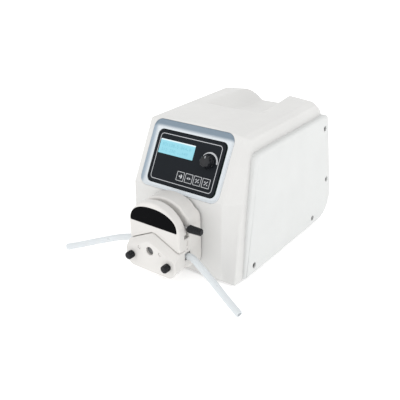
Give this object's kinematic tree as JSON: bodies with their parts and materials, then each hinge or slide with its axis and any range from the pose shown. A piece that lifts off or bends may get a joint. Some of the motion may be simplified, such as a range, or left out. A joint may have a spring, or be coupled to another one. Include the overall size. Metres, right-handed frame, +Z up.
{
  "type": "peristaltic pump",
  "caption": "Benchtop peristaltic pump: a desktop drive with a sloping control panel and a roller head that squeezes flexible tubing to move liquid.",
  "frame": {"origin": "centre of the footprint, on the plane the rubber feet stand on", "axes": "+Z up, -Y out of the front with the roller head, +X to the right as seen by someone facing the panel"},
  "size_m": [0.2683, 0.2972, 0.1729],
  "materials": {
    "shell": "fine satin texture, off-white",
    "cover": "fine satin texture, cool off-white",
    "head": "smooth moulded plastic, warm white",
    "bezel": "satin bluish silver",
    "overlay": "charcoal film with a thin light border line",
    "display": "cyan backlit display",
    "black_plastic": "smooth black",
    "smoke": "polished smoked black",
    "steel": "machined steel",
    "sheet": "sheet metal",
    "board": "circuit board green",
    "rubber": "matte dark grey",
    "tube": "translucent silicone",
    "key": "charcoal key caps with a light outline",
    "motor": "black motor body"
  },
  "bodies": {
    "drive": {"main_shell": "shell", "side_cover_left": "cover", "side_cover_right": "cover", "base_plate": "sheet", "rear_plate": "sheet", "control_connector": "sheet", "motor_bracket": "sheet", "foot_front_left": "rubber", "foot_front_right": "rubber", "foot_rear_left": "rubber", "foot_rear_right": "rubber", "cover_screw_left_1": "steel", "cover_screw_left_2": "steel", "cover_screw_left_3": "steel", "cover_screw_left_4": "steel", "cover_screw_right_1": "steel", "cover_screw_right_2": "steel", "cover_screw_right_3": "steel", "cover_screw_right_4": "steel", "bezel_frame": "bezel", "panel_overlay": "overlay", "display_window": "display", "control_board": "board", "power_board": "board", "encoder_body": "steel", "front_bearing": "steel", "inlet_socket": "black_plastic", "switch_frame": "black_plastic", "drive_motor": "motor", "head_body": "head", "lower_block": "head", "block_pin_left": "head", "block_pin_right": "head", "pump_tube": "tube", "tube_left": "tube", "tube_right": "tube"},
    "rotor": {"drive_shaft": "steel", "roller_carrier": "sheet"},
    "roller_a": {"roller_1": "steel"},
    "roller_b": {"roller_2": "steel"},
    "roller_c": {"roller_3": "steel"},
    "press": {"pressing_block": "head", "block_window": "smoke"},
    "lever": {"lever_rod": "steel", "lever_grip": "black_plastic"},
    "knob_left": {"tube_knob_left": "black_plastic"},
    "knob_right": {"tube_knob_right": "black_plastic"},
    "jaw_left": {"clamp_jaw_left": "black_plastic"},
    "jaw_right": {"clamp_jaw_right": "black_plastic"},
    "dial": {"encoder_knob": "black_plastic"},
    "key_a": {"key_1": "key"},
    "key_b": {"key_2": "key"},
    "key_c": {"key_3": "key"},
    "key_d": {"key_4": "key"},
    "rocker": {"power_rocker": "black_plastic"},
    "fuse": {"fuse_drawer": "black_plastic"}
  },
  "joints": [
    {"name": "rotor_spin", "type": "hinge", "parent": "drive", "child": "rotor", "pos_m": [0, -0.11565, 0.0465], "axis": [0, 1, 0], "continuous": true},
    {"name": "roller_a_spin", "type": "hinge", "parent": "rotor", "child": "roller_a", "pos_m": [0, -0.11565, 0.0587], "axis": [0, 1, 0], "continuous": true},
    {"name": "roller_b_spin", "type": "hinge", "parent": "rotor", "child": "roller_b", "pos_m": [-0.01057, -0.11565, 0.0404], "axis": [0, 1, 0], "continuous": true},
    {"name": "roller_c_spin", "type": "hinge", "parent": "rotor", "child": "roller_c", "pos_m": [0.01057, -0.11565, 0.0404], "axis": [0, 1, 0], "continuous": true},
    {"name": "press_lift", "type": "slide", "parent": "drive", "child": "press", "axis": [0, 0, 1], "range_m": [0, 0.01]},
    {"name": "lever_swing", "type": "hinge", "parent": "press", "child": "lever", "pos_m": [0, -0.11455, 0.0755], "axis": [0, -1, 0], "range_deg": [0, 178]},
    {"name": "knob_left_turn", "type": "hinge", "parent": "drive", "child": "knob_left", "pos_m": [-0.027, -0.14415, 0.035], "axis": [0, 1, 0], "range_deg": [0, 270]},
    {"name": "jaw_left_slide", "type": "slide", "parent": "drive", "child": "jaw_left", "axis": [0, 0, -1], "range_m": [0, 0.003]},
    {"name": "knob_right_turn", "type": "hinge", "parent": "drive", "child": "knob_right", "pos_m": [0.027, -0.14415, 0.035], "axis": [0, 1, 0], "range_deg": [0, 270]},
    {"name": "jaw_right_slide", "type": "slide", "parent": "drive", "child": "jaw_right", "axis": [0, 0, -1], "range_m": [0, 0.003]},
    {"name": "dial_turn", "type": "hinge", "parent": "drive", "child": "dial", "pos_m": [0.0303, -0.06869, 0.13931], "axis": [0, -0.8788, 0.4772], "continuous": true},
    {"name": "key_a_press", "type": "slide", "parent": "drive", "child": "key_a", "axis": [0, 0.8788, -0.4772], "range_m": [0, 0.0008], "stiffness_N_per_m": 500},
    {"name": "key_b_press", "type": "slide", "parent": "drive", "child": "key_b", "axis": [0, 0.8788, -0.4772], "range_m": [0, 0.0008], "stiffness_N_per_m": 500},
    {"name": "key_c_press", "type": "slide", "parent": "drive", "child": "key_c", "axis": [0, 0.8788, -0.4772], "range_m": [0, 0.0008], "stiffness_N_per_m": 500},
    {"name": "key_d_press", "type": "slide", "parent": "drive", "child": "key_d", "axis": [0, 0.8788, -0.4772], "range_m": [0, 0.0008], "stiffness_N_per_m": 500},
    {"name": "rocker_tip", "type": "hinge", "parent": "drive", "child": "rocker", "pos_m": [-0.012, 0.14403, 0.07211], "axis": [0, -0.1392, 0.9903], "range_deg": [0, 16]},
    {"name": "fuse_pull", "type": "slide", "parent": "drive", "child": "fuse", "axis": [0, 0.9903, 0.1392], "range_m": [0, 0.014]}
  ],
  "couplings": [
    {"joint": "roller_a_spin", "follows": "rotor_spin", "ratio": -3.2182},
    {"joint": "roller_b_spin", "follows": "rotor_spin", "ratio": -3.2182},
    {"joint": "roller_c_spin", "follows": "rotor_spin", "ratio": -3.2182},
    {"joint": "lever_swing", "follows": "press_lift", "rad_per_m": 310.66},
    {"joint": "knob_left_turn", "follows": "jaw_left_slide", "rad_per_m": 1570.8},
    {"joint": "knob_right_turn", "follows": "jaw_right_slide", "rad_per_m": 1570.8}
  ]
}
